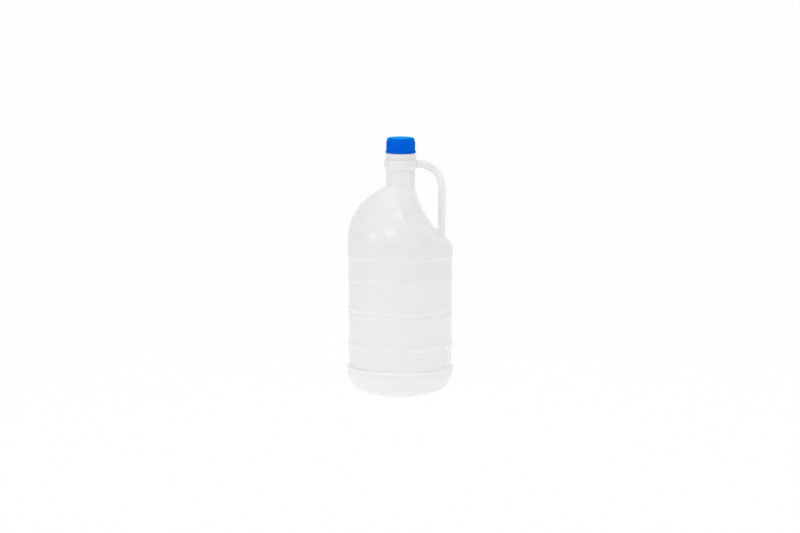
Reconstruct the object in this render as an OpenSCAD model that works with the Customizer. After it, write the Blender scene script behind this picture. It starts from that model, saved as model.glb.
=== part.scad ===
/* [Foot and base] */
// Diameter of the ring that the bottle stands on
stand_d = 91.6; // [70:0.2:110]
// Width of the flat standing ring
stand_w = 5; // [3:0.5:10]
// Rounding between the standing ring and the underside's slope
stand_round = 6; // [3:0.5:8]
// Height of the raised middle of the base
push_up = 5; // [2:0.5:9]
// Slope of the underside outside the ring, in degrees
under_slope = 17.5; // [12:0.5:25]
// Radius of the rounded heel
heel_r = 24.2; // [12:0.2:27]
// Lean of the heel's side from vertical, in degrees
heel_lean = 25; // [15:1:30]
// Height of the heel, from the ground to the foot band
heel_h = 29; // [26:0.5:45]
// Diameter at the top of the foot band
foot_d = 162.5; // [161:0.5:168]
// How much narrower the foot band is at its lower edge
foot_draft = 2.6; // [0:0.2:4]
// Height of the foot band
foot_h = 12.8; // [8:0.2:25]
// Height of the slope from the foot band in to the wall
foot_step_h = 2.1; // [1.5:0.1:4]

/* [Body] */
// Diameter of the wall above the twin ribs
body_d = 157.8; // [154:0.2:159]
// Diameter of the wall below the twin ribs
lower_d = 157.2; // [154:0.2:158]
// Wall thickness of the blown body
wall = 1.2; // [0.9:0.1:2]
// Height from the foot's slope to the lowest rib
foot_panel_h = 33.6; // [12:0.2:60]
// Height from the lowest rib to the twin ribs
lower_panel_h = 46.1; // [15:0.2:80]
// Height between the twin ribs
twin_gap = 10.4; // [9:0.2:20]
// Height from the twin ribs to the top rib
upper_panel_h = 45.8; // [15:0.2:80]
// Height from the top rib to the shoulder band
top_panel_h = 32.2; // [15:0.2:60]
// How far the twin ribs and the top rib stand out of the wall
rib_h = 0.85; // [0.4:0.05:1.5]
// How far the lowest rib stands out of the wall
low_rib_h = 1.3; // [0.4:0.05:1.8]
// Height of each rib along the wall
rib_w = 8; // [5:0.5:9]

/* [Shoulder] */
// Diameter of the shoulder band and of the round shoulder above it
shoulder_d = 160.6; // [159.5:0.2:166]
// Height of the shoulder band
shoulder_band_h = 24.7; // [19:0.2:40]
// Height of the small step under the shoulder band
shoulder_step_h = 1.6; // [1:0.1:3]
// Slope of the shoulder next to the neck, in degrees
shoulder_slope = 34.4; // [28:0.2:42]

/* [Finger scoop] */
// Radius of the hollow sweep under the grip
scoop_r = 129; // [110:1:150]
// Lean of the scoop from vertical where it turns into the bump, in degrees
scoop_lean = 53.6; // [50:0.2:56]
// Least lean of the scoop from vertical where it comes to the neck, in degrees
scoop_top_lean = 11.8; // [8:0.2:20]
// Radius of the rounded bump under the scoop
bump_r = 21.6; // [16:0.2:26]
// Depth of the bump's lower end under the round shoulder
bump_drop = 17.2; // [15:0.2:18]
// How far the scoop's own axis lies behind the bottle's axis
scoop_offset = 52; // [40:1:70]

/* [Neck] */
// Outside diameter of the neck
neck_d = 44.2; // [43:0.2:48]
// Length of the neck from the shoulder's corner to the collar
neck_len = 24.5; // [15:0.1:45]
// Rounding where the neck meets the shoulder
neck_round = 6; // [2:0.5:8]
// Outside diameter of the collar that carries the grip
collar_d = 50.2; // [49:0.2:56]
// Height of the collar's straight side
collar_h = 9.8; // [8:0.2:16]
// Height of the slope under the collar
collar_slope_h = 3.8; // [2:0.2:6]
// Height of the slope on top of the collar
collar_top_h = 1.9; // [1:0.1:4]
// Diameter of the groove between collar and bead
groove_d = 45; // [42:0.2:46]
// Height of the groove between collar and bead
groove_h = 0.9; // [0.5:0.1:3]
// Diameter of the bead under the cap
bead_d = 46.6; // [46:0.1:49]
// Height of the bead under the cap
bead_h = 7; // [3:0.1:8]

/* [Mouth and thread] */
// Outside diameter of the mouth's wall, under the thread
mouth_d = 36.6; // [34:0.2:38]
// Thickness of the mouth's wall
mouth_wall = 2; // [1.5:0.1:3]
// Height of the thread ridges
thread_h = 1.2; // [0.8:0.1:1.3]
// Rise of the thread in one turn
thread_pitch = 4; // [3.6:0.1:5]
// Turns of thread on the neck and in the cap
thread_turns = 1.5; // [1:0.25:2]
// Depth of the thread's upper end below the rim
thread_start = 4.5; // [3:0.5:6]
// Free play between the thread crests and the opposite wall
thread_play = 0.3; // [0.25:0.05:0.5]

/* [Grip] */
// Diameter of the round grip
grip_d = 11.4; // [9:0.2:14]
// Length of the grip's straight top run, from the collar to the bend
grip_run = 2; // [0.5:0.1:4]
// Radius of the grip's bend, to the middle of the bar
grip_bend_r = 35.6; // [30:0.1:38]
// Depth of the grip's top run below the middle of the collar
grip_drop = 0.6; // [0:0.1:1.5]

/* [Screw cap] */
// Height of the cap
cap_h = 22.3; // [18:0.1:32]
// Thickness of the cap's top
cap_top = 1.6; // [1.2:0.1:3]
// Wall thickness of the cap between its ribs
cap_wall = 1.2; // [1:0.1:2]
// Rounding of the cap's top edge
cap_round = 2.5; // [0.5:0.1:3]
// Height of the smooth crown above the ribs
crown_h = 5; // [3:0.1:8]
// Number of grip ribs around the cap
knurl_count = 24; // [16:1:36]
// How far the grip ribs stand out
knurl_h = 1.1; // [0.6:0.1:1.8]
// Width of each grip rib
knurl_w = 2.6; // [1.4:0.1:3]
// How far the lower rim of the cap stands out
flange_w = 2.3; // [1.8:0.1:4]
// Height of the cap's lower rim
flange_h = 2.2; // [1.5:0.1:5]
// Gap between the cap and the bead below it
skirt_gap = 2.4; // [0.5:0.1:5]
// Thickness of the sealing disc
liner_t = 1.2; // [0.8:0.1:2.5]
// Gap between the sealing disc's edge and the cap's wall
liner_play = 0.3; // [0.2:0.05:1]

/* [Hidden] */
$fn = 96;

// Largest angle between two points of a rounded outline
arc_step = 6;
// Steps of the thread in one turn, and how many of them each end takes to fade out
turn_steps = 32;
fade_steps = 5;
// How deep a ridge or rib is sunk into the wall that carries it
root = 0.3;
// Run of the slope round the raised middle of the base, for each mm that it rises
push_up_run = 2;
// Turn of the cap's grip ribs, as a share of their spacing
knurl_phase = 0.5;
// Width of a thread ridge at its foot and at its crest
ridge_foot_w = 2;
ridge_crest_w = 1;
// How far the scoop's surfaces stay off the surfaces that they run beside
scoop_margin = 0.3;
// Overrun of a cut past the faces that it goes through
over = 1;

// Radii of the round pieces
stand_r = stand_d / 2;
foot_r = foot_d / 2;
foot_low_r = foot_r - foot_draft / 2;
body_r = body_d / 2;
lower_r = lower_d / 2;
shoulder_r = shoulder_d / 2;
neck_r = neck_d / 2;
collar_r = collar_d / 2;
groove_r = groove_d / 2;
bead_r = bead_d / 2;
mouth_r = mouth_d / 2;
bore_r = mouth_r - mouth_wall;
grip_r = grip_d / 2;
cap_bore_r = mouth_r + thread_h + thread_play;
crown_r = cap_bore_r + cap_wall;
knurl_r = crown_r + knurl_h;
flange_r = crown_r + flange_w;

// Heights, stacked from the ground up
foot_z = heel_h;
foot_top_z = foot_z + foot_h;
wall_z = foot_top_z + foot_step_h;
low_rib_z = wall_z + foot_panel_h;
twin_low_z = low_rib_z + lower_panel_h;
twin_high_z = twin_low_z + twin_gap;
top_rib_z = twin_high_z + upper_panel_h;
band_z = top_rib_z + top_panel_h;
dome_z = band_z + shoulder_band_h;
tangent_r = shoulder_r * sin(shoulder_slope);
tangent_z = dome_z + shoulder_r * cos(shoulder_slope);
neck_z = tangent_z + (tangent_r - neck_r) * tan(shoulder_slope);
neck_round_rise = neck_round * tan((90 - shoulder_slope) / 2);
collar_low_z = neck_z + neck_len;
collar_z = collar_low_z + collar_slope_h;
collar_top_z = collar_z + collar_h;
groove_z = collar_top_z + collar_top_h;
bead_z = groove_z + groove_h;
mouth_z = bead_z + bead_h;
mouth_h = cap_h - cap_top - liner_t + skirt_gap;
rim_z = mouth_z + mouth_h;
cap_top_z = rim_z + liner_t + cap_top;
cap_z = cap_top_z - cap_h;

// How deep the grip's foot sits in the shoulder's wall, and its top in the collar's
grip_sink = wall / 2;
grip_root = 2 * wall;
// How far the grip's own hollow runs on, through the bottle's wall
grip_open = 4 * wall;

// Middle line of the grip
grip_z = collar_z + collar_h / 2 - grip_drop;
grip_bend_x = collar_r + grip_run;
grip_bend_z = grip_z - grip_bend_r;
grip_reach = grip_bend_x + grip_bend_r;

// Points along an arc, from one angle to another
function arc(centre, r, from, to) =
    let (n = max(2, ceil(abs(to - from) / arc_step)))
    [for (i = [0:n]) let (a = from + (to - from) * i / n) centre + r * [cos(a), sin(a)]];

// Unit vector to the left of the way from one point to the next
function left_of(a, b) = let (d = (b - a) / norm(b - a)) [-d[1], d[0]];

// An outline moved sideways into the solid by t, with its corners kept sharp
function inset(p, t) =
    let (last = len(p) - 1)
    [for (i = [0:last])
        let (before = left_of(p[max(i - 1, 0)], p[max(i, 1)]))
        let (after = left_of(p[min(i, last - 1)], p[min(i + 1, last)]))
        p[i] + t * (before + after) / (1 + before * after)];

// Where the line through a, leaning from vertical by a_lean, meets the line through b
function meet(a, a_lean, b, b_lean) =
    let (da = [sin(a_lean), cos(a_lean)], db = [sin(b_lean), cos(b_lean)])
    let (cross = da[0] * db[1] - da[1] * db[0])
    a + da * ((b - a)[0] * db[1] - (b - a)[1] * db[0]) / cross;

// Underside and heel, from the middle of the base out to the foot band
under_lean = 90 - under_slope;
stand_arc = arc([stand_r, stand_round], stand_round, -90, -under_lean);
heel_end = [foot_low_r, foot_z];
heel_corner = meet(stand_arc[len(stand_arc) - 1], under_lean, heel_end, heel_lean);
heel_cut = heel_r * tan((under_lean - heel_lean) / 2);
heel_from = heel_corner - heel_cut * [sin(under_lean), cos(under_lean)];
heel_centre = heel_from + heel_r * [-cos(under_lean), sin(under_lean)];
ring_in_r = stand_r - stand_w;
push_up_r = ring_in_r - push_up_run * push_up;
base_points = concat(
    [[0, push_up], [push_up_r, push_up], [ring_in_r, 0]],
    stand_arc,
    arc(heel_centre, heel_r, -under_lean, -heel_lean),
    [heel_end]);

// One rounded rib of height h on a wall of radius r, as an arc over its width
function rib(r, z, h) =
    let (arc_r = (rib_w * rib_w / 4 + h * h) / (2 * h))
    let (half = asin(rib_w / 2 / arc_r))
    arc([r + h - arc_r, z], arc_r, -half, half);

// Foot band and ribbed wall, up to the shoulder band
wall_points = concat(
    [[foot_r, foot_top_z], [lower_r, wall_z]],
    rib(lower_r, low_rib_z, low_rib_h),
    rib(lower_r, twin_low_z, rib_h),
    rib(body_r, twin_high_z, rib_h),
    rib(body_r, top_rib_z, rib_h),
    [[body_r, band_z - shoulder_step_h], [shoulder_r, band_z]]);

// Round shoulder, neck and collar
shoulder_points = concat(
    arc([0, dome_z], shoulder_r, 0, 90 - shoulder_slope),
    arc([neck_r + neck_round, neck_z + neck_round_rise], neck_round, 270 - shoulder_slope, 180),
    [[neck_r, collar_low_z], [collar_r, collar_z], [collar_r, collar_top_z]]);

// Groove, bead and mouth
bead_arc_r = (bead_h * bead_h / 4 + pow(bead_r - groove_r, 2)) / (2 * (bead_r - groove_r));
bead_half_angle = asin(bead_h / 2 / bead_arc_r);
mouth_points = concat(
    [[groove_r, groove_z], [groove_r, bead_z]],
    arc([bead_r - bead_arc_r, bead_z + bead_h / 2], bead_arc_r, -bead_half_angle, bead_half_angle),
    [[mouth_r, mouth_z], [mouth_r, rim_z]]);

outside_points = concat(base_points, wall_points, shoulder_points);

// The inside runs a wall behind the outside up to the collar, then slopes in to the mouth's bore
collar_in = [collar_r - wall, collar_top_z - wall];
throat = [bore_r, collar_in[1] + collar_in[0] - bore_r];
inside_points = concat(
    inset(concat(base_points, wall_points), wall),
    [for (p = inset(shoulder_points, wall)) if (p[1] < collar_in[1]) p],
    [collar_in, throat]);

// Scoop: a bump, then a hollow sweep up to the neck, both drawn beside the scoop's own axis
bump_centre = [shoulder_r + scoop_margin - bump_r, dome_z - bump_drop];
turn_over = [cos(scoop_lean), sin(scoop_lean)];
bump_end = bump_centre + bump_r * turn_over;
scoop_in_r = neck_r + scoop_margin;
// Straight run under the sweep, where a wide shoulder leaves the sweep too short to reach the neck
sweep_reach = scoop_r * (cos(scoop_top_lean) - cos(scoop_lean));
scoop_run = max(0, (bump_end[0] - scoop_in_r - sweep_reach) / sin(scoop_lean));
sweep_from = bump_end + scoop_run * [-turn_over[1], turn_over[0]];
sweep_centre = sweep_from + scoop_r * turn_over;
scoop_top_z = neck_z + neck_round_rise + over;
far_r = 2 * shoulder_r;

function scoop_points(t) =
    let (top_r = scoop_in_r - t)
    let (top_angle = acos((sweep_centre[0] - top_r) / (scoop_r + t)))
    concat(
        arc(bump_centre, bump_r - t, 0, scoop_lean),
        arc(sweep_centre, scoop_r + t, 180 + scoop_lean, 180 + top_angle),
        [[top_r, scoop_top_z]]);

module scoop_form(t) {
    side = [for (p = scoop_points(t)) p + [scoop_offset, 0]];
    top = [[far_r + scoop_offset, scoop_top_z], [far_r + scoop_offset, cap_top_z], [0, cap_top_z]];
    bottom = [[0, -over], [far_r + scoop_offset, -over], [far_r + scoop_offset, side[0][1]]];
    translate([-scoop_offset, 0, 0])
        rotate_extrude()
            polygon(concat(bottom, side, top));
}

module outside() {
    intersection() {
        rotate_extrude()
            polygon(concat(outside_points, mouth_points, [[0, rim_z]]));
        scoop_form(0);
    }
}

module inside() {
    intersection() {
        rotate_extrude()
            polygon(concat(inside_points, [[bore_r, rim_z + over], [0, rim_z + over]]));
        scoop_form(wall);
    }
}

// Height of the scoop's surface on the grip's side, at a distance from the bottle's axis
function scoop_z(x) =
    x > bump_end[0] ? bump_centre[1] + sqrt(bump_r * bump_r - pow(x - bump_centre[0], 2))
    : x > sweep_from[0] ? bump_end[1] + (bump_end[0] - x) / tan(scoop_lean)
    : sweep_centre[1] - sqrt(scoop_r * scoop_r - pow(sweep_centre[0] - x, 2));

// The grip as a bar of radius r from the collar over and down to the height foot, drawn about the middle of its bend
module grip_bar(r, from_x, foot) {
    translate([grip_bend_x, 0, grip_bend_z])
        rotate([90, 0, 0]) {
            rotate_extrude(angle = 90)
                translate([grip_bend_r, 0])
                    circle(r = r);
            translate([0, grip_bend_r, 0])
                rotate([0, -90, 0])
                    linear_extrude(grip_bend_x - from_x)
                        circle(r = r);
            translate([grip_bend_r, 0, 0])
                rotate([90, 0, 0])
                    linear_extrude(grip_bend_z - foot)
                        circle(r = r);
        }
}

// Section of a thread ridge at one step, pointing outward or inward
function ridge_section(wall_r, reach, i, steps) =
    let (fade = min(1, i / fade_steps, (steps - i) / fade_steps))
    let (a = 360 * i / turn_steps, z = thread_pitch * i / turn_steps)
    let (back = wall_r - sign(reach) * root, crest = wall_r + reach * fade)
    let (foot_w = ridge_foot_w / 2, crest_w = ridge_crest_w / 2)
    [for (p = [[back, z - foot_w], [crest, z - crest_w], [crest, z + crest_w], [back, z + foot_w]])
        [p[0] * cos(a), p[0] * sin(a), p[1]]];

// A right-hand thread ridge that fades out at both ends
module ridge(wall_r, reach, z) {
    steps = round(thread_turns * turn_steps);
    sections = [for (i = [0:steps]) ridge_section(wall_r, reach, i, steps)];
    skins = [for (i = [0:steps - 1], k = [0:3])
        let (a = 4 * i + k, b = 4 * i + (k + 1) % 4)
        reach > 0 ? [a, b, b + 4, a + 4] : [a + 4, b + 4, b, a]];
    first = [3, 2, 1, 0];
    last = [for (k = [0:3]) 4 * steps + k];
    ends = reach > 0 ? [first, last] : [[for (k = first) 3 - k], [for (k = [3:-1:0]) last[k]]];
    translate([0, 0, z])
        polyhedron([for (s = sections) each s], concat(skins, ends));
}

thread_z = rim_z - thread_start - thread_turns * thread_pitch;
cap_thread_z = thread_z - thread_pitch / 2;

// The blown bottle: body, scoop, neck, collar and hollow grip in one piece
module bottle() {
    bar_foot = scoop_z(grip_reach + grip_r) - grip_sink;
    color("#e9ebe9")
        difference() {
            union() {
                outside();
                grip_bar(grip_r, collar_r - grip_root, bar_foot);
                ridge(mouth_r, thread_h, thread_z);
            }
            union() {
                inside();
                grip_bar(grip_r - wall, collar_r - grip_open, bar_foot - grip_open);
            }
        }
}

// One upright grip rib on the cap, with a sloped upper end
module knurl() {
    top_z = cap_top_z - crown_h;
    rotate([90, 0, 0])
        translate([0, 0, -knurl_w / 2])
            linear_extrude(knurl_w)
                polygon([[crown_r - root, cap_z + flange_h / 2], [knurl_r, cap_z + flange_h / 2],
                    [knurl_r, top_z - knurl_h], [crown_r - root, top_z + root]]);
}

// The ribbed screw cap
module screw_cap() {
    lip = knurl_h / 2;
    shell = concat(
        [[0, cap_z], [flange_r, cap_z], [flange_r, cap_z + flange_h - lip]],
        [[flange_r - lip, cap_z + flange_h], [crown_r, cap_z + flange_h]],
        arc([crown_r - cap_round, cap_top_z - cap_round], cap_round, 0, 90),
        [[0, cap_top_z]]);
    color("#0a52c4") {
        difference() {
            union() {
                rotate_extrude()
                    polygon(shell);
                for (i = [0:knurl_count - 1])
                    rotate([0, 0, 360 * (i + knurl_phase) / knurl_count])
                        knurl();
            }
            translate([0, 0, cap_z - over])
                cylinder(r = cap_bore_r, h = cap_h - cap_top + over);
        }
        ridge(cap_bore_r, -thread_h, cap_thread_z);
    }
}

// The sealing disc between the rim and the cap's top
module seal_liner() {
    color("#f4f4f0")
        translate([0, 0, rim_z])
            cylinder(r = cap_bore_r - liner_play, h = liner_t);
}

bottle();
screw_cap();
seal_liner();
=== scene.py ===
import math

import bmesh
import bpy
from mathutils import Matrix, Vector


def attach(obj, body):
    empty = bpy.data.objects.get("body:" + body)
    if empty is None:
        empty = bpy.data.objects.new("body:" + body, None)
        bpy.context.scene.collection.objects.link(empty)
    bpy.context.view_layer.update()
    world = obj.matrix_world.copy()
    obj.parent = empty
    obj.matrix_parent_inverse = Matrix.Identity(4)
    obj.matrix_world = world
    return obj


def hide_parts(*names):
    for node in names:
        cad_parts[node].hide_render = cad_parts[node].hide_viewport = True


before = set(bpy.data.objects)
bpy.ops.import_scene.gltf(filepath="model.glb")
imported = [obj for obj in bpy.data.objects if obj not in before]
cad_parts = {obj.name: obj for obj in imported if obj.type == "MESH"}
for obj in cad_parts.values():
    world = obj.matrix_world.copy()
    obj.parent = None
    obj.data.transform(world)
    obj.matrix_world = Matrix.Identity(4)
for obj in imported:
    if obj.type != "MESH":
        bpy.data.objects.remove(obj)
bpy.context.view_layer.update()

# Lengths are in millimetres until a piece is finished, and levels are heights over the ground
MM = 0.001
MERGE = 0.001
SHARP_ANGLE = 40.0

# Base and heel, with the radius and the rise over the push-up of each row in the base's dish
STAND_R = 45.8
STAND_W = 5.0
STAND_ROUND = 6.0
PUSH_UP = 5.0
DISH = ((0, 0.8), (12, 0.7), (24, 0.3))
UNDER_SLOPE = 17.5
HEEL_R = 24.2
HEEL_LEAN = 25.0

# Foot band and wall
FOOT_LOW_R = 79.95
FOOT_R = 81.25
FOOT_Z = 29.0
FOOT_TOP_Z = 41.8
FOOT_RING_Z = 38.3
FOOT_RING_H = 0.7
WALL_Z = 44.4
LOWER_R = 78.6
BODY_R = 78.9

# Each rib's wall radius, level and height, then its rows and its two slopes as heights over its level
RIBS = ((LOWER_R, 77.5, 1.3), (LOWER_R, 123.6, 0.85), (BODY_R, 134.0, 0.85), (BODY_R, 179.8, 0.85))
RIB_ROWS = (-4.2, -3.95, -3.7, -3.4, -3.15, -2.9, -1.7, -0.5, 0.6, 1.6, 2.6, 3.6, 4.8)
RIB_LOW_SLOPE = (-4.2, -2.9)
RIB_HIGH_SLOPE = (-0.5, 4.8)

# Shoulder, with the height between its rows and how far they start and stop from its ends
SHOULDER_R = 80.3
BAND_Z = 212.0
BAND_STEP = 1.6
DOME_Z = 236.7
SHOULDER_SLOPE = 34.4
SHOULDER_ROW = 1.5
SHOULDER_END = 4

# Finger scoop
BUMP_R = 21.6
BUMP_X = 59.0
BUMP_Z = 219.5
SWEEP_R = 129.0
SWEEP_X = 148.37
SWEEP_Z = 340.72
SCOOP_LEAN = 53.6
SCOOP_IN_R = 22.4
SCOOP_LOW_Z = 215.0
SCOOP_HIGH_Z = 318.0

# Widths of the scoop's rounded edge, and the levels between which they change
SOFT_FOOT = 11.8
SOFT_EDGE = 5.0
SOFT_TOP = 7.0
SOFT_NECK = 0.6
SOFT_LOW_SPAN = (240, 262)
SOFT_HIGH_SPAN = (288, 304)

# How far behind the axis the scoop's arcs have their centres, seen from above: further about one level
ARC_BACK = 28
ARC_BACK_MORE = 34.5
ARC_BACK_Z = 271
ARC_BACK_SPAN = 22

# Neck, collar and mouth
NECK_R = 22.1
NECK_Z = 318.89
NECK_ROUND = 6.0
COLLAR_R = 25.1
COLLAR_LOW_Z = 343.39
COLLAR_Z = 347.19
COLLAR_TOP_Z = 356.99
GROOVE_R = 22.5
GROOVE_Z = 358.89
BEAD_R = 23.3
BEAD_Z = 359.79
BEAD_H = 8.8
MOUTH_R = 18.3
MOUTH_Z = 368.59
RIM_Z = 388.69
RIM_ROUND = 0.45
WALL = 1.2
MOUTH_WALL = 2.0

# Thread, with its section as shares of its height and heights over its middle
PITCH = 4.0
TURNS = 1.5
THREAD_H = 1.2
THREAD_Z = 378.19
THREAD_SINK = 0.3
THREAD_SECTION = ((0.75, -0.62), (1, -0.35), (1, 0.35), (0.75, 0.62))
THREAD_HALF = 1.0
THREAD_STEPS = 48
THREAD_FADE = 8

# Grip, with the levels of its rings on the straight bar and the angles of those in the bend
GRIP_R = 5.7
GRIP_SQUARE = 2.5
GRIP_X = 62.7
GRIP_Z = 351.49
GRIP_BEND_R = 35.6
BEND_X = GRIP_X - GRIP_BEND_R
BEND_Z = GRIP_Z - GRIP_BEND_R
BAR_LEVELS = (256, 264, 274, 284, 295, 306, BEND_Z)
BEND_ANGLES = range(4, 88, 4)

# How far the grip's roots reach past the grip on the wall, and how far out along the grip
FOOT_FLARE = 3.0
FOOT_RISE = 3.6
ROOT_SIDE = 2.2
ROOT_OVER = 2.3
ROOT_UNDER = 1.6
ROOT_REACH = 3.0
ROOT_RINGS = 5

# Cap, with the angles over which the flank of a grip rib falls and the run of its upper end
CAP_Z = 369.19
CAP_TOP_Z = 391.49
CAP_BORE_R = 19.8
CAP_BORE_CUT = 0.6
CAP_TOP = 1.6
CROWN_R = 21.0
CROWN_H = 5.0
CROWN_ROUND = 2.8
FLANGE_R = 23.3
FLANGE_H = 2.2
KNURLS = 24
KNURL_H = 1.1
KNURL_FLANK = (2.3, 4.6)
KNURL_RUN = 1.2

# Sealing disc, with the ring that the rim presses into it
LINER_R = 19.5
LINER_T = 1.2
LINER_ROUND = 0.2
PRESS = 0.12
PRESS_EDGE = 0.4

# Steps round the bottle, the cap and the disc
BOTTLE_STEPS = 180
CAP_STEPS = 384
LINER_STEPS = 128


def arc(centre, radius, start, end, step=6.0):
    """Points along an arc, with its angles in degrees."""
    count = max(2, math.ceil(abs(end - start) / step))
    angles = [math.radians(start + (end - start) * i / count) for i in range(count + 1)]
    return [(centre[0] + radius * math.cos(a), centre[1] + radius * math.sin(a)) for a in angles]


def ease(value, low, high):
    """From 0 at low to 1 at high, smoothly."""
    t = min(1.0, max(0.0, (value - low) / (high - low)))
    return t * t * (3 - 2 * t)


def lay_wire(bm, points, rounded):
    """Draws a profile as a wire in the XZ plane; rounded gives sizes for corners by their place."""
    verts = [bm.verts.new((r, 0, z)) for r, z in points]
    for a, b in zip(verts, verts[1:]):
        bm.edges.new((a, b))
    for size in sorted(set(rounded.values())):
        corners = [verts[i] for i, s in rounded.items() if s == size]
        bmesh.ops.bevel(
            bm, geom=corners, offset=size, offset_type="OFFSET", segments=4,
            profile=0.5, affect="VERTICES", material=-1,
        )


def turn(bm, steps):
    """Spins all that is drawn once round the upright axis."""
    bmesh.ops.spin(
        bm, geom=bm.verts[:] + bm.edges[:], cent=(0, 0, 0), axis=(0, 0, 1),
        angle=2 * math.pi, steps=steps, use_merge=True,
    )
    bmesh.ops.remove_doubles(bm, verts=bm.verts[:], dist=MERGE)
    bmesh.ops.recalc_face_normals(bm, faces=bm.faces[:])


def add_object(bm, name):
    """Puts a bmesh into the scene as an object, and frees it."""
    mesh = bpy.data.meshes.new(name)
    bm.to_mesh(mesh)
    bm.free()
    made = bpy.data.objects.new(name, mesh)
    bpy.context.scene.collection.objects.link(made)
    return made


def finish_mesh(bm, name):
    """Turns a bmesh in millimetres into an object in metres, smooth but for its sharp edges."""
    bmesh.ops.scale(bm, vec=(MM, MM, MM), verts=bm.verts[:])
    limit = math.radians(SHARP_ANGLE)
    for face in bm.faces:
        face.smooth = True
    for edge in bm.edges:
        edge.smooth = not (len(edge.link_faces) == 2 and edge.calc_face_angle(0) > limit)
    return add_object(bm, name)


# Bottle

def meet(a, lean_a, b, lean_b):
    """Where the line through a meets the line through b, with both leans from vertical in degrees."""
    ax, az = math.sin(math.radians(lean_a)), math.cos(math.radians(lean_a))
    bx, bz = math.sin(math.radians(lean_b)), math.cos(math.radians(lean_b))
    share = ((b[0] - a[0]) * bz - (b[1] - a[1]) * bx) / (ax * bz - az * bx)
    return a[0] + ax * share, a[1] + az * share


def heel_points():
    """Standing ring, underside and rounded heel, up to the foot band."""
    under = 90 - UNDER_SLOPE
    stand = arc((STAND_R, STAND_ROUND), STAND_ROUND, -90, -under, 3)
    corner = meet(stand[-1], under, (FOOT_LOW_R, FOOT_Z), HEEL_LEAN)
    cut = HEEL_R * math.tan(math.radians(under - HEEL_LEAN) / 2)
    lean = math.radians(under)
    start = (corner[0] - cut * math.sin(lean), corner[1] - cut * math.cos(lean))
    centre = (start[0] - HEEL_R * math.cos(lean), start[1] + HEEL_R * math.sin(lean))
    return stand + arc(centre, HEEL_R, -under, -HEEL_LEAN, 3)


def rib_points(radius, level, height):
    """One rib, with a short steep lower side and a long gentle upper side."""
    lifts = [ease(u, *RIB_LOW_SLOPE) * (1 - ease(u, *RIB_HIGH_SLOPE)) for u in RIB_ROWS]
    return [(radius + height * lift, level + u) for u, lift in zip(RIB_ROWS, lifts)]


def shoulder_radius(z):
    """Radius of the round shoulder, its cone and the neck's rounding, without the scoop."""
    slope = math.radians(SHOULDER_SLOPE)
    tangent_z = DOME_Z + SHOULDER_R * math.cos(slope)
    round_top = NECK_Z + NECK_ROUND * math.tan((math.pi / 2 - slope) / 2)
    round_low = round_top - NECK_ROUND * math.cos(slope)
    if z <= DOME_Z:
        return SHOULDER_R
    if z <= tangent_z:
        return math.sqrt(SHOULDER_R ** 2 - (z - DOME_Z) ** 2)
    if z <= round_low:
        return SHOULDER_R * math.sin(slope) - (z - tangent_z) / math.tan(slope)
    if z < round_top:
        return NECK_R + NECK_ROUND - math.sqrt(NECK_ROUND ** 2 - (round_top - z) ** 2)
    return NECK_R


def scoop_reach(z):
    """How far the scoop's surface lies from the axis, on the grip's side, before its foot is rounded."""
    lean = math.radians(SCOOP_LEAN)
    bump_end = BUMP_Z + BUMP_R * math.sin(lean)
    if z <= bump_end:
        return BUMP_X + BUMP_R * math.cos(lean) + (bump_end - z) * math.tan(lean)
    rise = max(0.0, SWEEP_Z - z)
    return max(SCOOP_IN_R, SWEEP_X - math.sqrt(SWEEP_R ** 2 - rise ** 2))


def scoop_softness(z, angle):
    """Width over which the scoop's edge is rounded: wide at its foot, narrow beside the neck."""
    low = SOFT_FOOT + (SOFT_EDGE - SOFT_FOOT) * ease(z, *SOFT_LOW_SPAN)
    high = SOFT_NECK + (SOFT_TOP - SOFT_NECK) * math.sin(angle) ** 2
    return low + (high - low) * ease(z, *SOFT_HIGH_SPAN)


def surface_radius(z, angle):
    """Distance of the shoulder's surface from the axis, with the scoop cut and its edge rounded."""
    plain = shoulder_radius(z)
    behind = ARC_BACK + ARC_BACK_MORE * math.exp(-((z - ARC_BACK_Z) / ARC_BACK_SPAN) ** 2)
    reach = scoop_reach(z) + behind
    side = behind * math.sin(angle)
    cut = math.sqrt(reach ** 2 - side ** 2) - behind * math.cos(angle)
    soft = scoop_softness(z, angle)
    near = max(0.0, 1 - abs(plain - cut) / soft)
    return min(plain, cut) - near * near * soft / 4


def surface_level(x, y):
    """Height of the scoop's surface over a point beside the grip, found by halving."""
    angle, radius = math.atan2(y, x), math.hypot(x, y)
    low, high = SCOOP_LOW_Z, SCOOP_HIGH_Z
    for _ in range(40):
        middle = (low + high) / 2
        if surface_radius(middle, angle) > radius:
            low = middle
        else:
            high = middle
    return (low + high) / 2


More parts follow.
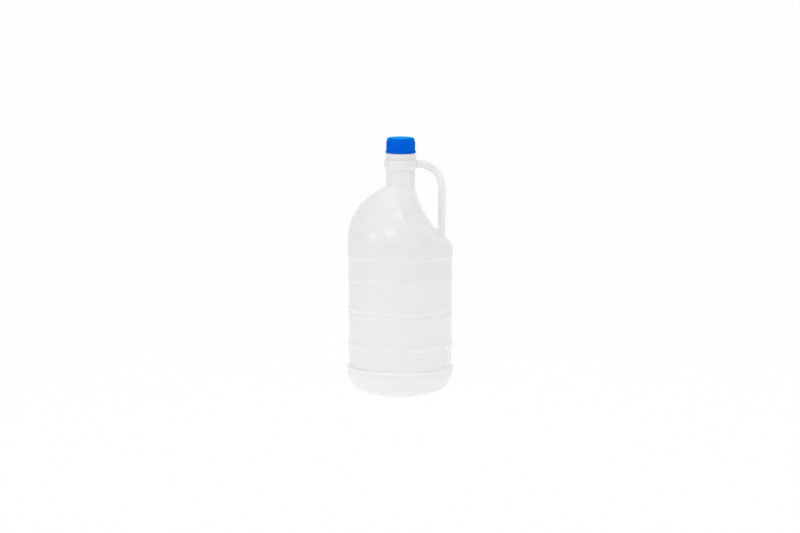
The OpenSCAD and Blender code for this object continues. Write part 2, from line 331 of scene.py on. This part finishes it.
def bottle_outline():
    """The bottle's profile from the middle of its base to its rim, and the corners to round."""
    points = [(r, PUSH_UP + rise) for r, rise in DISH]
    rounded = {}

    def add(new, corner=0.0):
        if corner:
            rounded[len(points)] = corner
        points.extend(new)

    add([(STAND_R - STAND_W - 2 * PUSH_UP, PUSH_UP)], corner=3.0)
    add([(STAND_R - STAND_W, 0)], corner=2.0)
    add(heel_points())
    add([(FOOT_LOW_R, FOOT_Z)], corner=0.8)
    add([(FOOT_R - FOOT_RING_H, FOOT_RING_Z)], corner=0.4)
    add([(FOOT_R - 0.1, FOOT_RING_Z + 1)], corner=0.4)
    add([(FOOT_R, FOOT_TOP_Z)], corner=1.2)
    add([(LOWER_R, WALL_Z)], corner=1.2)
    for rib in RIBS:
        add(rib_points(*rib))
    add([(BODY_R, BAND_Z - BAND_STEP)], corner=0.8)
    add([(SHOULDER_R, BAND_Z)], corner=0.8)
    level = BAND_Z + SHOULDER_END
    while level < NECK_Z + SHOULDER_END:
        add([(shoulder_radius(level), level)])
        level += SHOULDER_ROW
    add([(NECK_R, NECK_Z + 8), (NECK_R, NECK_Z + 16)])
    add([(NECK_R, COLLAR_LOW_Z)], corner=0.8)
    for share in (0.36, 0.68):
        radius = NECK_R + (COLLAR_R - NECK_R) * share
        add([(radius, COLLAR_LOW_Z + (COLLAR_Z - COLLAR_LOW_Z) * share)])
    add([(COLLAR_R, COLLAR_Z)], corner=0.7)
    add([(COLLAR_R, COLLAR_Z + (COLLAR_TOP_Z - COLLAR_Z) * i / 8) for i in range(1, 8)])
    add([(COLLAR_R, COLLAR_TOP_Z)], corner=0.6)
    add([((COLLAR_R + GROOVE_R) / 2, (COLLAR_TOP_Z + GROOVE_Z) / 2)])
    add([(GROOVE_R, GROOVE_Z)], corner=0.3)
    swell = BEAD_R - GROOVE_R
    bead_arc = (BEAD_H ** 2 / 4 + swell ** 2) / (2 * swell)
    half = math.degrees(math.asin(BEAD_H / 2 / bead_arc))
    add(arc((BEAD_R - bead_arc, BEAD_Z + BEAD_H / 2), bead_arc, -half, half, half / 4))
    add([(MOUTH_R, MOUTH_Z)], corner=0.5)
    add([(MOUTH_R, RIM_Z)])
    return points, rounded


def bottle_skin():
    """The bottle's outer skin, with the scoop and the loop grip, open at the mouth."""
    bm = bmesh.new()
    lay_wire(bm, *bottle_outline())
    turn(bm, BOTTLE_STEPS)
    for v in bm.verts:
        if BUMP_Z - SHOULDER_END < v.co.z < NECK_Z + SHOULDER_END:
            angle = math.atan2(v.co.y, v.co.x)
            radius = math.hypot(v.co.x, v.co.y)
            target = min(radius, surface_radius(v.co.z, angle))
            v.co.x, v.co.y = target * math.cos(angle), target * math.sin(angle)
    join_grip(bm)
    bmesh.ops.recalc_face_normals(bm, faces=bm.faces[:])
    return bm


def grip_reach(angle):
    """The grip's radius at an angle of its section, which is slightly squared."""
    spread = abs(math.cos(angle)) ** GRIP_SQUARE + abs(math.sin(angle)) ** GRIP_SQUARE
    return GRIP_R / spread ** (1 / GRIP_SQUARE)


def grip_ring(middle, outward):
    """Gives the place of a ring's points on the grip's skin, round a point of its middle line."""
    def place(angle, foot):
        reach = grip_reach(angle)
        aside = Vector((0, reach * math.sin(angle), 0))
        return Vector(middle) + Vector(outward) * (reach * math.cos(angle)) + aside
    return place


def swept(foot, corner, top, share):
    """Point at a share of the way from foot to top, on a curve that leans towards corner."""
    return foot * (1 - share) ** 2 + corner * (2 * share * (1 - share)) + top * share ** 2


def scoop_fillet(share):
    """Gives the place of a ring's points between the hole in the scoop and the bar."""
    def place(angle, foot):
        reach = grip_reach(angle)
        corner = Vector((GRIP_X + reach * math.cos(angle), reach * math.sin(angle), 0))
        corner.z = surface_level(corner.x, corner.y)
        return swept(foot, corner, corner + Vector((0, 0, FOOT_RISE)), share)
    return place


def collar_x(y, z):
    """How far along X the collar's surface lies, at the Y and the level of a place."""
    if z < COLLAR_Z:
        r = NECK_R + (COLLAR_R - NECK_R) * (z - COLLAR_LOW_Z) / (COLLAR_Z - COLLAR_LOW_Z)
    elif z > COLLAR_TOP_Z:
        share = (z - COLLAR_TOP_Z) / (GROOVE_Z - COLLAR_TOP_Z)
        r = max(GROOVE_R, COLLAR_R - (COLLAR_R - GROOVE_R) * share)
    else:
        r = COLLAR_R
    return math.sqrt(r * r - y * y)


def collar_fillet(share):
    """Gives the place of a ring's points between the hole in the collar and the bend."""
    def place(angle, foot):
        reach = grip_reach(angle)
        y, z = reach * math.sin(angle), GRIP_Z + reach * math.cos(angle)
        corner = Vector((collar_x(y, z), y, z))
        return swept(foot, corner, corner + Vector((ROOT_REACH, 0, 0)), share)
    return place


def open_hole(bm, inside):
    """Takes out the faces whose middle is inside, and gives the edges and the points round the hole."""
    gone = [f for f in bm.faces if inside(f.calc_center_median())]
    rim = {e for f in gone for e in f.edges if any(g not in gone for g in e.link_faces)}
    bmesh.ops.delete(bm, geom=gone, context="FACES")
    rim = [e for e in rim if e.is_valid]
    return rim, {v for e in rim for v in e.verts}


def relax(bm, rim_verts, layers, settle):
    """Evens out the faces round a hole, and puts their points back on the surface."""
    fixed = set(rim_verts)
    near, edge = set(), set(rim_verts)
    for _ in range(layers):
        edge = {e.other_vert(v) for v in edge for e in v.link_edges} - fixed - near
        near |= edge
    for _ in range(6):
        bmesh.ops.smooth_vert(
            bm, verts=list(near), factor=0.5, use_axis_x=True, use_axis_y=True, use_axis_z=True,
        )
        for v in near:
            settle(v)


def open_scoop(bm):
    """Opens the scoop for the grip's foot: the hole's edges, and each point's angle and place."""
    def settle(v):
        v.co.z = surface_level(v.co.x, v.co.y)

    def inside(c):
        return 225 < c.z < 262 and c.x > 0 and math.hypot(c.x - GRIP_X, c.y) < GRIP_R + FOOT_FLARE

    rim, verts = open_hole(bm, inside)
    for v in verts:
        angle = math.atan2(v.co.y, v.co.x - GRIP_X)
        reach = grip_reach(angle) + FOOT_FLARE
        v.co.x, v.co.y = GRIP_X + reach * math.cos(angle), reach * math.sin(angle)
        settle(v)
    relax(bm, verts, 2, settle)
    return rim, {v: (math.atan2(v.co.y, v.co.x - GRIP_X), v.co.copy()) for v in verts}


def root_point(angle):
    """Place on the edge of the hole in the collar, as Y and height over the grip's middle."""
    reach = grip_reach(angle)
    rise = ROOT_OVER if math.cos(angle) > 0 else ROOT_UNDER
    return (reach + ROOT_SIDE) * math.sin(angle), (reach + rise) * math.cos(angle)


def open_collar(bm):
    """Opens the collar for the grip's top: the hole's edges, and each point's angle and place."""
    def inside(c):
        edge = root_point(math.atan2(c.y, c.z - GRIP_Z))
        return 15 < c.x < COLLAR_R + 1 and math.hypot(c.y, c.z - GRIP_Z) < math.hypot(*edge)

    rim, verts = open_hole(bm, inside)
    for v in verts:
        y, rise = root_point(math.atan2(v.co.y, v.co.z - GRIP_Z))
        v.co = (collar_x(y, GRIP_Z + rise), y, GRIP_Z + rise)
    return rim, {v: (math.atan2(v.co.y, v.co.z - GRIP_Z), v.co.copy()) for v in verts}


def grow_ring(bm, loop, feet, place):
    """Grows one more ring on a loop: place puts each point by its angle and its foot on the surface."""
    made = bmesh.ops.extrude_edge_only(bm, edges=loop)["geom"]
    old = {v for e in loop for v in e.verts}
    new_feet = {}
    for v in made:
        if isinstance(v, bmesh.types.BMVert):
            below = next(e.other_vert(v) for e in v.link_edges if e.other_vert(v) in old)
            new_feet[v] = feet[below]
    edges = [g for g in made if isinstance(g, bmesh.types.BMEdge)]
    for v, (angle, foot) in new_feet.items():
        v.co = place(angle, foot)
    return [e for e in edges if all(v in new_feet for v in e.verts)], new_feet


def join_grip(bm):
    """Opens the scoop and the collar, and grows the grip between the two holes."""
    places = [scoop_fillet(i / ROOT_RINGS) for i in range(1, ROOT_RINGS + 1)]
    places += [grip_ring((GRIP_X, 0, level), (1, 0, 0)) for level in BAR_LEVELS]
    for degrees in BEND_ANGLES:
        t = math.radians(degrees)
        out = (math.cos(t), 0, math.sin(t))
        places.append(grip_ring((BEND_X + GRIP_BEND_R * out[0], 0, BEND_Z + GRIP_BEND_R * out[2]), out))
    bar, feet = open_scoop(bm)
    for place in places:
        bar, feet = grow_ring(bm, bar, feet, place)
    root, feet = open_collar(bm)
    for i in range(1, ROOT_RINGS + 1):
        root, feet = grow_ring(bm, root, feet, collar_fillet(i / ROOT_RINGS))
    bmesh.ops.bridge_loops(bm, edges=bar + root)


def solidify(bm):
    """Gives the skin its wall, thicker at the mouth, and hands back the bmesh with both sides."""
    skin = add_object(bm, "skin")
    group = skin.vertex_groups.new(name="wall")
    for v in skin.data.vertices:
        thickness = WALL + (MOUTH_WALL - WALL) * ease(v.co.z, BEAD_Z, MOUTH_Z + 0.5)
        group.add([v.index], thickness / MOUTH_WALL, "REPLACE")
    wall = skin.modifiers.new("wall", "SOLIDIFY")
    wall.thickness = MOUTH_WALL
    wall.offset = -1
    wall.use_even_offset = True
    wall.use_quality_normals = True
    wall.vertex_group = "wall"
    graph = bpy.context.evaluated_depsgraph_get()
    made = bpy.data.meshes.new_from_object(skin.evaluated_get(graph))
    out = bmesh.new()
    out.from_mesh(made)
    mesh = skin.data
    bpy.data.objects.remove(skin)
    bpy.data.meshes.remove(mesh)
    bpy.data.meshes.remove(made)
    return out


def add_thread(bm, wall_r, height, level):
    """A right-hand thread ridge on a wall, outward or inward, which fades out at both ends."""
    steps = round(TURNS * THREAD_STEPS)
    base = wall_r - math.copysign(THREAD_SINK, height)
    section = [(wall_r + height * share, z) for share, z in THREAD_SECTION]
    section = [(base, -THREAD_HALF)] + section + [(base, THREAD_HALF)]
    ridge = bmesh.new()
    verts = [ridge.verts.new((r, 0, level + z)) for r, z in section]
    for a, b in zip(verts, verts[1:] + verts[:1]):
        ridge.edges.new((a, b))
    bmesh.ops.spin(
        ridge, geom=ridge.verts[:] + ridge.edges[:], cent=(0, 0, 0), axis=(0, 0, 1),
        dvec=(0, 0, PITCH / THREAD_STEPS), angle=2 * math.pi * TURNS, steps=steps,
    )
    bmesh.ops.holes_fill(ridge, edges=ridge.edges[:], sides=len(section))
    ridge.verts.ensure_lookup_table()
    for i, v in enumerate(ridge.verts):
        row = i // len(section)
        fade = min(1.0, row / THREAD_FADE, (steps - row) / THREAD_FADE)
        radius = math.hypot(v.co.x, v.co.y)
        wanted = base + (radius - base) * (0.1 + 0.9 * fade)
        v.co.x *= wanted / radius
        v.co.y *= wanted / radius
    bmesh.ops.recalc_face_normals(ridge, faces=ridge.faces[:])
    mesh = bpy.data.meshes.new("ridge")
    ridge.to_mesh(mesh)
    ridge.free()
    bm.from_mesh(mesh)
    bpy.data.meshes.remove(mesh)


def is_rim_corner(edge):
    """Whether an edge is one of the two sharp ones round the mouth's rim."""
    level = all(abs(v.co.z - RIM_Z) < 0.01 for v in edge.verts)
    return level and len(edge.link_faces) == 2 and edge.calc_face_angle(0) > 1.0


def make_bottle():
    """The blown bottle with its wall, its rounded rim and its thread."""
    bm = solidify(bottle_skin())
    bmesh.ops.bevel(
        bm, geom=[e for e in bm.edges if is_rim_corner(e)], offset=RIM_ROUND, offset_type="OFFSET",
        segments=3, profile=0.5, affect="EDGES", material=-1,
    )
    add_thread(bm, MOUTH_R, THREAD_H, THREAD_Z)
    return finish_mesh(bm, "milky_bottle")


# Cap and sealing disc

def knurl_lift(angle):
    """How much of its height a grip rib has at an angle round the cap."""
    pitch = 360 / KNURLS
    offset = abs(math.degrees(angle) % pitch - pitch / 2)
    return 1 - ease(offset, *KNURL_FLANK)


def make_cap():
    """The ribbed cap, inside and outside, as one closed shell with its thread."""
    rib_top = CAP_TOP_Z - CROWN_H
    flange_top = CAP_Z + FLANGE_H
    inner_top = CAP_TOP_Z - CAP_TOP
    knurl_end = rib_top + 0.2
    levels = [rib_top + u for u in (0.35, 0.05, -0.35, -0.75, -1.15, -1.6, -4, -7, -10)]
    levels += [flange_top + 1.0, flange_top + 0.4]
    points = [(0, CAP_TOP_Z), (8, CAP_TOP_Z), (14, CAP_TOP_Z)]
    points += arc((CROWN_R - CROWN_ROUND, CAP_TOP_Z - CROWN_ROUND), CROWN_ROUND, 90, 0, 15)
    points += [(CROWN_R, z) for z in levels]
    lip = len(points)
    points += [(CROWN_R, flange_top), (FLANGE_R, flange_top), (FLANGE_R, CAP_Z)]
    points += [(CAP_BORE_R + CAP_BORE_CUT, CAP_Z), (CAP_BORE_R, CAP_Z + CAP_BORE_CUT)]
    points += [(CAP_BORE_R, inner_top), (8, inner_top), (0, inner_top)]
    bm = bmesh.new()
    lay_wire(bm, points, {lip: 0.25, lip + 1: 0.55, lip + 2: 0.4})
    turn(bm, CAP_STEPS)
    for v in bm.verts:
        radius = math.hypot(v.co.x, v.co.y)
        if abs(radius - CROWN_R) < 0.02 and flange_top + 0.1 < v.co.z < knurl_end:
            lift = min(1.0, (knurl_end - v.co.z) / KNURL_RUN) * knurl_lift(math.atan2(v.co.y, v.co.x))
            scale = 1 + KNURL_H * lift / radius
            v.co.x *= scale
            v.co.y *= scale
    add_thread(bm, CAP_BORE_R, -THREAD_H, THREAD_Z - PITCH / 2)
    return finish_mesh(bm, "ribbed_cap")


def make_liner():
    """The foam disc, with the ring that the rim presses into it."""
    bore_r = MOUTH_R - MOUTH_WALL
    pressed = RIM_Z + PRESS
    top = RIM_Z + LINER_T
    points = [(0, RIM_Z), (bore_r - PRESS_EDGE, RIM_Z), (bore_r, pressed), (MOUTH_R, pressed)]
    points += [(MOUTH_R + PRESS_EDGE, RIM_Z), (LINER_R, RIM_Z), (LINER_R, top), (0, top)]
    bm = bmesh.new()
    lay_wire(bm, points, {5: LINER_ROUND, 6: LINER_ROUND})
    turn(bm, LINER_STEPS)
    return finish_mesh(bm, "foam_liner")


bottle = make_bottle()
cap = make_cap()
liner = make_liner()

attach(bottle, "bottle")
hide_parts("bottle")
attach(cap, "cap")
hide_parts("screw_cap")
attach(liner, "liner")
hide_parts("seal_liner")


# Finishes

def shade(grey):
    """A grey as a colour."""
    return (grey, grey, grey, 1)


class Wire:
    """One output in a finish, with sums on values that add their Math nodes."""

    def __init__(self, finish, socket):
        self.finish = finish
        self.socket = socket

    def __add__(self, other):
        return self.finish.sum("ADD", self, other)

    def __radd__(self, other):
        return self.finish.sum("ADD", other, self)

    def __sub__(self, other):
        return self.finish.sum("SUBTRACT", self, other)

    def __rsub__(self, other):
        return self.finish.sum("SUBTRACT", other, self)

    def __mul__(self, other):
        return self.finish.sum("MULTIPLY", self, other)

    def __rmul__(self, other):
        return self.finish.sum("MULTIPLY", other, self)

    def __truediv__(self, other):
        return self.finish.sum("DIVIDE", self, other)


class Finish:
    """A node tree of a material or a world."""

    def __init__(self, owner):
        owner.use_nodes = True
        self.owner = owner
        self.tree = owner.node_tree
        self.tree.nodes.clear()

    def node(self, kind, settings=None, inputs=None, output=0):
        """Adds a node, sets it up, wires or fills its inputs, and gives one of its outputs."""
        made = self.tree.nodes.new("ShaderNode" + kind)
        for key, value in (settings or {}).items():
            if key == "stops":
                ramp = made.color_ramp
                while len(ramp.elements) < len(value):
                    ramp.elements.new(0.5)
                for element, (position, grey) in zip(ramp.elements, value):
                    element.position = position
                    element.color = shade(grey)
            else:
                setattr(made, key, value)
        for key, value in (inputs or {}).items():
            if isinstance(value, Wire):
                self.tree.links.new(value.socket, made.inputs[key])
            else:
                made.inputs[key].default_value = value
        return Wire(self, made.outputs[output]) if made.outputs else None

    def sum(self, operation, a, b):
        return self.node("Math", {"operation": operation}, {0: a, 1: b})

    def unsigned(self, value):
        """A value without its sign."""
        return self.node("Math", {"operation": "ABSOLUTE"}, {0: value})

    def blend(self, share, a, b):
        """A colour between a and b."""
        return self.node("Mix", {"data_type": "RGBA"}, {0: share, 6: a, 7: b}, 2)

    def fade(self, value, start, end, peak=1.0):
        """From peak where a value is at start, smoothly down to 0 where it is at end."""
        limits = {0: value, 1: start, 2: end, 3: peak, 4: 0.0}
        return self.node("MapRange", {"interpolation_type": "SMOOTHSTEP"}, limits)

    def noise(self, place, scale, detail=2.0, roughness=0.5):
        inputs = {"Vector": place, "Scale": scale, "Detail": detail, "Roughness": roughness}
        return self.node("TexNoise", {}, inputs)

    def place(self):
        """Place on the object, in metres."""
        return self.node("TexCoord", output=3)

    def axis(self, place, number):
        """One part of a place: 0, 1 and 2 are X, Y and Z."""
        return self.node("SeparateXYZ", {}, {0: place}, number)


# Tone of the wall by its level, with light and shade painted in: painted shade round the base and under
# the cap at the bead, painted light up the shoulder to the neck
TONE_SPAN = 400.0
WALL_TONE_AND_PAINTED_SHADE = (
    (0, 0.80), (14, 0.82), (25, 0.86), (33, 0.895), (48, 0.91), (63, 0.915), (87, 0.91), (110, 0.895),
    (132, 0.88), (162, 0.865), (185, 0.85), (200, 0.845), (214, 0.835), (231, 0.82), (246, 0.83),
    (262, 0.855), (280, 0.875), (305, 0.905), (319, 0.94), (328, 0.87), (337, 0.855), (347, 0.83),
    (357, 0.83), (360, 0.75), (371, 0.75), (392, 0.85),
)

# Level, width and strength of the painted light lines round the ribs and the steps, which paint pale lines
# and lift the shade in their hollows
PAINTED_LIGHT_TONE = 0.97
PAINTED_LIGHT_RINGS = (
    (BAND_Z - 0.6, 2.2, 0.2), (RIBS[3][1] - 3.4, 2.2, 0.24), (RIBS[3][1] + 2.4, 4.5, 0.12),
    (RIBS[2][1] - 3.4, 2.0, 0.26), (RIBS[2][1] - 5.2, 3.4, 0.36), (RIBS[1][1] - 3.4, 2.2, 0.36),
    (RIBS[0][1] - 4.2, 2.4, 0.9), (FOOT_RING_Z + 0.6, 2.2, 0.3), (FOOT_TOP_Z + 2.0, 4.4, 1.5),
)

# Middle of the painted light patch round the grip's foot, which lifts the shade under the grip, and where
# it starts and ends to fade, all in metres
PAINTED_LIGHT_PATCH = (GRIP_X * MM, 0, 240 * MM)
PAINTED_LIGHT_FADE = (0.012, 0.034)

# Half the width of the parting line, in metres
SEAM = 0.0005


def milky_plastic():
    """Natural blown polyethylene: satin, faintly uneven, with fine grain and a parting line, and with
    light and shade painted into its tone.
    """
    f = Finish(bpy.data.materials.new("milky_plastic"))
    place = f.place()
    cloud = f.noise(place, 14.0, 3.0)
    streak = f.noise(f.node("Mapping", {}, {"Vector": place, "Scale": (60, 60, 3)}), 1.0)
    grain = f.noise(place, 900.0, 2.0, 0.6)
    peel = f.noise(place, 220.0)
    level = f.axis(place, 2)
    # Wall tone by level, which paints shade round the base and under the cap, and light up the shoulder
    stops = [(z / TONE_SPAN, tone) for z, tone in WALL_TONE_AND_PAINTED_SHADE]
    wall = f.node("ValToRGB", {"stops": stops}, {0: level / (TONE_SPAN * MM)})
    tone = f.blend(cloud * 0.12 + streak * 0.08, wall, shade(1.0))
    # Painted light round the grip's foot, where the grip's shade falls
    away = f.node("VectorMath", {"operation": "DISTANCE"}, {0: place, 1: PAINTED_LIGHT_PATCH}, 1)
    painted_light = f.fade(away, *PAINTED_LIGHT_FADE)
    # Painted light: pale lines round the ribs and steps, added to the painted light patch
    for ring, width, strength in PAINTED_LIGHT_RINGS:
        painted_light = painted_light + f.fade(f.unsigned(level - ring * MM), 0.0, width * MM, strength)
    tone = f.blend(painted_light, tone, shade(PAINTED_LIGHT_TONE))
    roughness = 0.15 + cloud * 0.04 + grain * 0.03
    seam = f.fade(f.unsigned(f.axis(place, 1)), 0.0, SEAM)
    height = grain * 0.12 + peel * 0.2 + streak * 0.25 + seam * 0.5
    bump = f.node("Bump", {}, {"Height": height, "Strength": 0.18, "Distance": 0.0004})
    skin = f.node("BsdfPrincipled", {"subsurface_method": "RANDOM_WALK"}, {
        "Base Color": tone, "Roughness": roughness, "Normal": bump, "IOR": 1.54,
        "Subsurface Weight": 1.0, "Subsurface Radius": (1.0, 1.0, 1.0), "Subsurface Scale": 0.002,
    })
    f.node("OutputMaterial", {}, {"Surface": skin})
    return f.owner


def blue_plastic():
    """Dyed polypropylene, semi-gloss, with fine moulding grain and a gloss that keeps its colour."""
    f = Finish(bpy.data.materials.new("blue_plastic"))
    place = f.place()
    cloud = f.noise(place, 60.0, 3.0)
    grain = f.noise(place, 1400.0)
    tone = f.blend(cloud, (0.0, 0.082, 0.62, 1), (0.0, 0.102, 0.70, 1))
    roughness = 0.13 + cloud * 0.04 + grain * 0.04
    bump = f.node("Bump", {}, {"Height": grain, "Strength": 0.12, "Distance": 0.0002})
    body = f.node("BsdfPrincipled", {}, {
        "Base Color": tone, "Roughness": roughness, "Normal": bump, "IOR": 1.49, "Specular IOR Level": 0.0,
    })
    gloss = f.node("BsdfAnisotropic", {}, {
        "Color": (0.02, 0.55, 1.0, 1), "Roughness": roughness, "Normal": bump,
    })
    share = f.node("Fresnel", {}, {"IOR": 1.58, "Normal": bump})
    skin = f.node("MixShader", {}, {0: share, 1: body, 2: gloss})
    f.node("OutputMaterial", {}, {"Surface": skin})
    return f.owner


def foam():
    """Foamed polyethylene, matte, with fine cells."""
    f = Finish(bpy.data.materials.new("foam_disc"))
    place = f.place()
    cells = f.node("TexVoronoi", {}, {"Vector": place, "Scale": 1500.0})
    cloud = f.noise(place, 80.0)
    tone = f.blend(cloud, (0.84, 0.84, 0.81, 1), (0.92, 0.92, 0.89, 1))
    roughness = 0.7 + cloud * 0.15
    bump = f.node("Bump", {}, {"Height": cells, "Strength": 0.4, "Distance": 0.0003})
    skin = f.node("BsdfPrincipled", {}, {"Base Color": tone, "Roughness": roughness, "Normal": bump})
    f.node("OutputMaterial", {}, {"Surface": skin})
    return f.owner


bottle.data.materials.append(milky_plastic())
cap.data.materials.append(blue_plastic())
liner.data.materials.append(foam())


# Floor, light and camera, all in metres

# Light that the plastic gets from the floor and from the white room, where 1 is as bright as white
FLOOR_GLOW = 0.57
SKY_GLOW = 0.47

# How much of the floor's look is its own light, for rays that see it and for all others
FLOOR_SEEN = 0.97
FLOOR_UNSEEN = 0.25
FLOOR_HALF = 16.0

# The photograph's camera, with its distance from the point that it looks at, over the ground
LENS = 135
SENSOR_WIDTH = 36
LENS_SHIFT = -0.35 / 800
VIEW_Z = 0.19397
VIEW_DISTANCE = 4.575
VIEW_RISE = math.radians(8.64)
VIEW_ROLL = math.radians(0.17)
VIEW_END = 60

LIT_POINT = (0, 0, 0.22)


def around(azimuth, rise, distance=2.3):
    """Place round the object: azimuth in degrees from the camera towards the grip, then the rise."""
    a, e = math.radians(azimuth), math.radians(rise)
    reach = distance * math.cos(e)
    return reach * math.sin(a), -reach * math.cos(a), LIT_POINT[2] + distance * math.sin(e)


# Name, place, width and power of the soft boxes
LAMPS = (
    ("left_spot", around(-62, 8), 0.75, 3.9),
    ("front_left", around(-22, 20), 0.75, 4.0),
    ("top_front", around(15, 63, 2.0), 0.75, 3.5),
    ("right_front", around(42, 28), 0.6, 4.2),
    ("right_side", around(95, 15), 1.2, 3.0),
    ("right_back", around(135, 30), 1.0, 1.2),
    ("left_high", around(-60, 50, 2.2), 2.0, 2.4),
    ("top", (-0.1, -0.5, 2.1), 1.5, 6.4),
    ("top_back", (-0.2, 0.8, 2.0), 1.2, 3.5),
)


def seen_directly(f):
    """1 for camera, glossy and transmission rays, so that plastic mirrors the white background too."""
    path = f.tree.nodes.new("ShaderNodeLightPath")
    names = ("Is Camera Ray", "Is Glossy Ray", "Is Transmission Ray")
    camera, glossy, through = (Wire(f, path.outputs[name]) for name in names)
    return f.sum("MAXIMUM", f.sum("MAXIMUM", camera, glossy), through)


def floor_finish():
    """Pale floor, close to white where it is seen, which keeps the object's shadow."""
    f = Finish(bpy.data.materials.new("pale_floor"))
    direct = seen_directly(f)
    lit = f.node("BsdfDiffuse", {}, {"Color": shade(0.9)})
    glow = FLOOR_GLOW / FLOOR_UNSEEN
    white = f.node("Emission", {}, {"Color": shade(1.0), "Strength": glow + direct * (1 - glow)})
    share = FLOOR_UNSEEN + direct * (FLOOR_SEEN - FLOOR_UNSEEN)
    look = f.node("MixShader", {}, {0: share, 1: lit, 2: white})
    f.node("OutputMaterial", {}, {"Surface": look})
    return f.owner


def make_floor():
    """The floor on which the object stands; it is stage and no part of it."""
    bm = bmesh.new()
    bmesh.ops.create_grid(bm, x_segments=8, y_segments=8, size=FLOOR_HALF)
    floor = add_object(bm, "floor")
    floor.data.materials.append(floor_finish())


def make_world():
    """The white room, which lights the plastic less than it shows."""
    world = bpy.data.worlds.new("studio")
    bpy.context.scene.world = world
    f = Finish(world)
    strength = SKY_GLOW + seen_directly(f) * (1 - SKY_GLOW)
    sky = f.node("Background", {}, {"Color": shade(1.0), "Strength": strength})
    f.node("OutputWorld", {}, {"Surface": sky})


def make_lamp(name, place, width, power):
    """A square soft box that faces the object."""
    data = bpy.data.lights.new(name, "AREA")
    data.shape = "SQUARE"
    data.size = width
    data.energy = power
    lamp = bpy.data.objects.new(name, data)
    lamp.location = place
    lamp.rotation_euler = (Vector(LIT_POINT) - Vector(place)).to_track_quat("-Z", "Y").to_euler()
    bpy.context.scene.collection.objects.link(lamp)


def make_camera():
    """A long lens, slightly above the object, with the photograph's faint roll."""
    data = bpy.data.cameras.new("camera")
    data.sensor_width = SENSOR_WIDTH
    data.lens = LENS
    data.shift_x = LENS_SHIFT
    data.clip_end = VIEW_END
    camera = bpy.data.objects.new("camera", data)
    back, up = VIEW_DISTANCE * math.cos(VIEW_RISE), VIEW_DISTANCE * math.sin(VIEW_RISE)
    tilt = Matrix.Rotation(math.pi / 2 - VIEW_RISE, 4, "X")
    roll = Matrix.Rotation(VIEW_ROLL, 4, "Z")
    camera.matrix_world = Matrix.Translation((0, -back, VIEW_Z + up)) @ tilt @ roll
    bpy.context.scene.collection.objects.link(camera)
    bpy.context.scene.camera = camera


make_floor()
make_world()
for lamp in LAMPS:
    make_lamp(*lamp)
make_camera()
bpy.context.scene.view_settings.view_transform = "Standard"
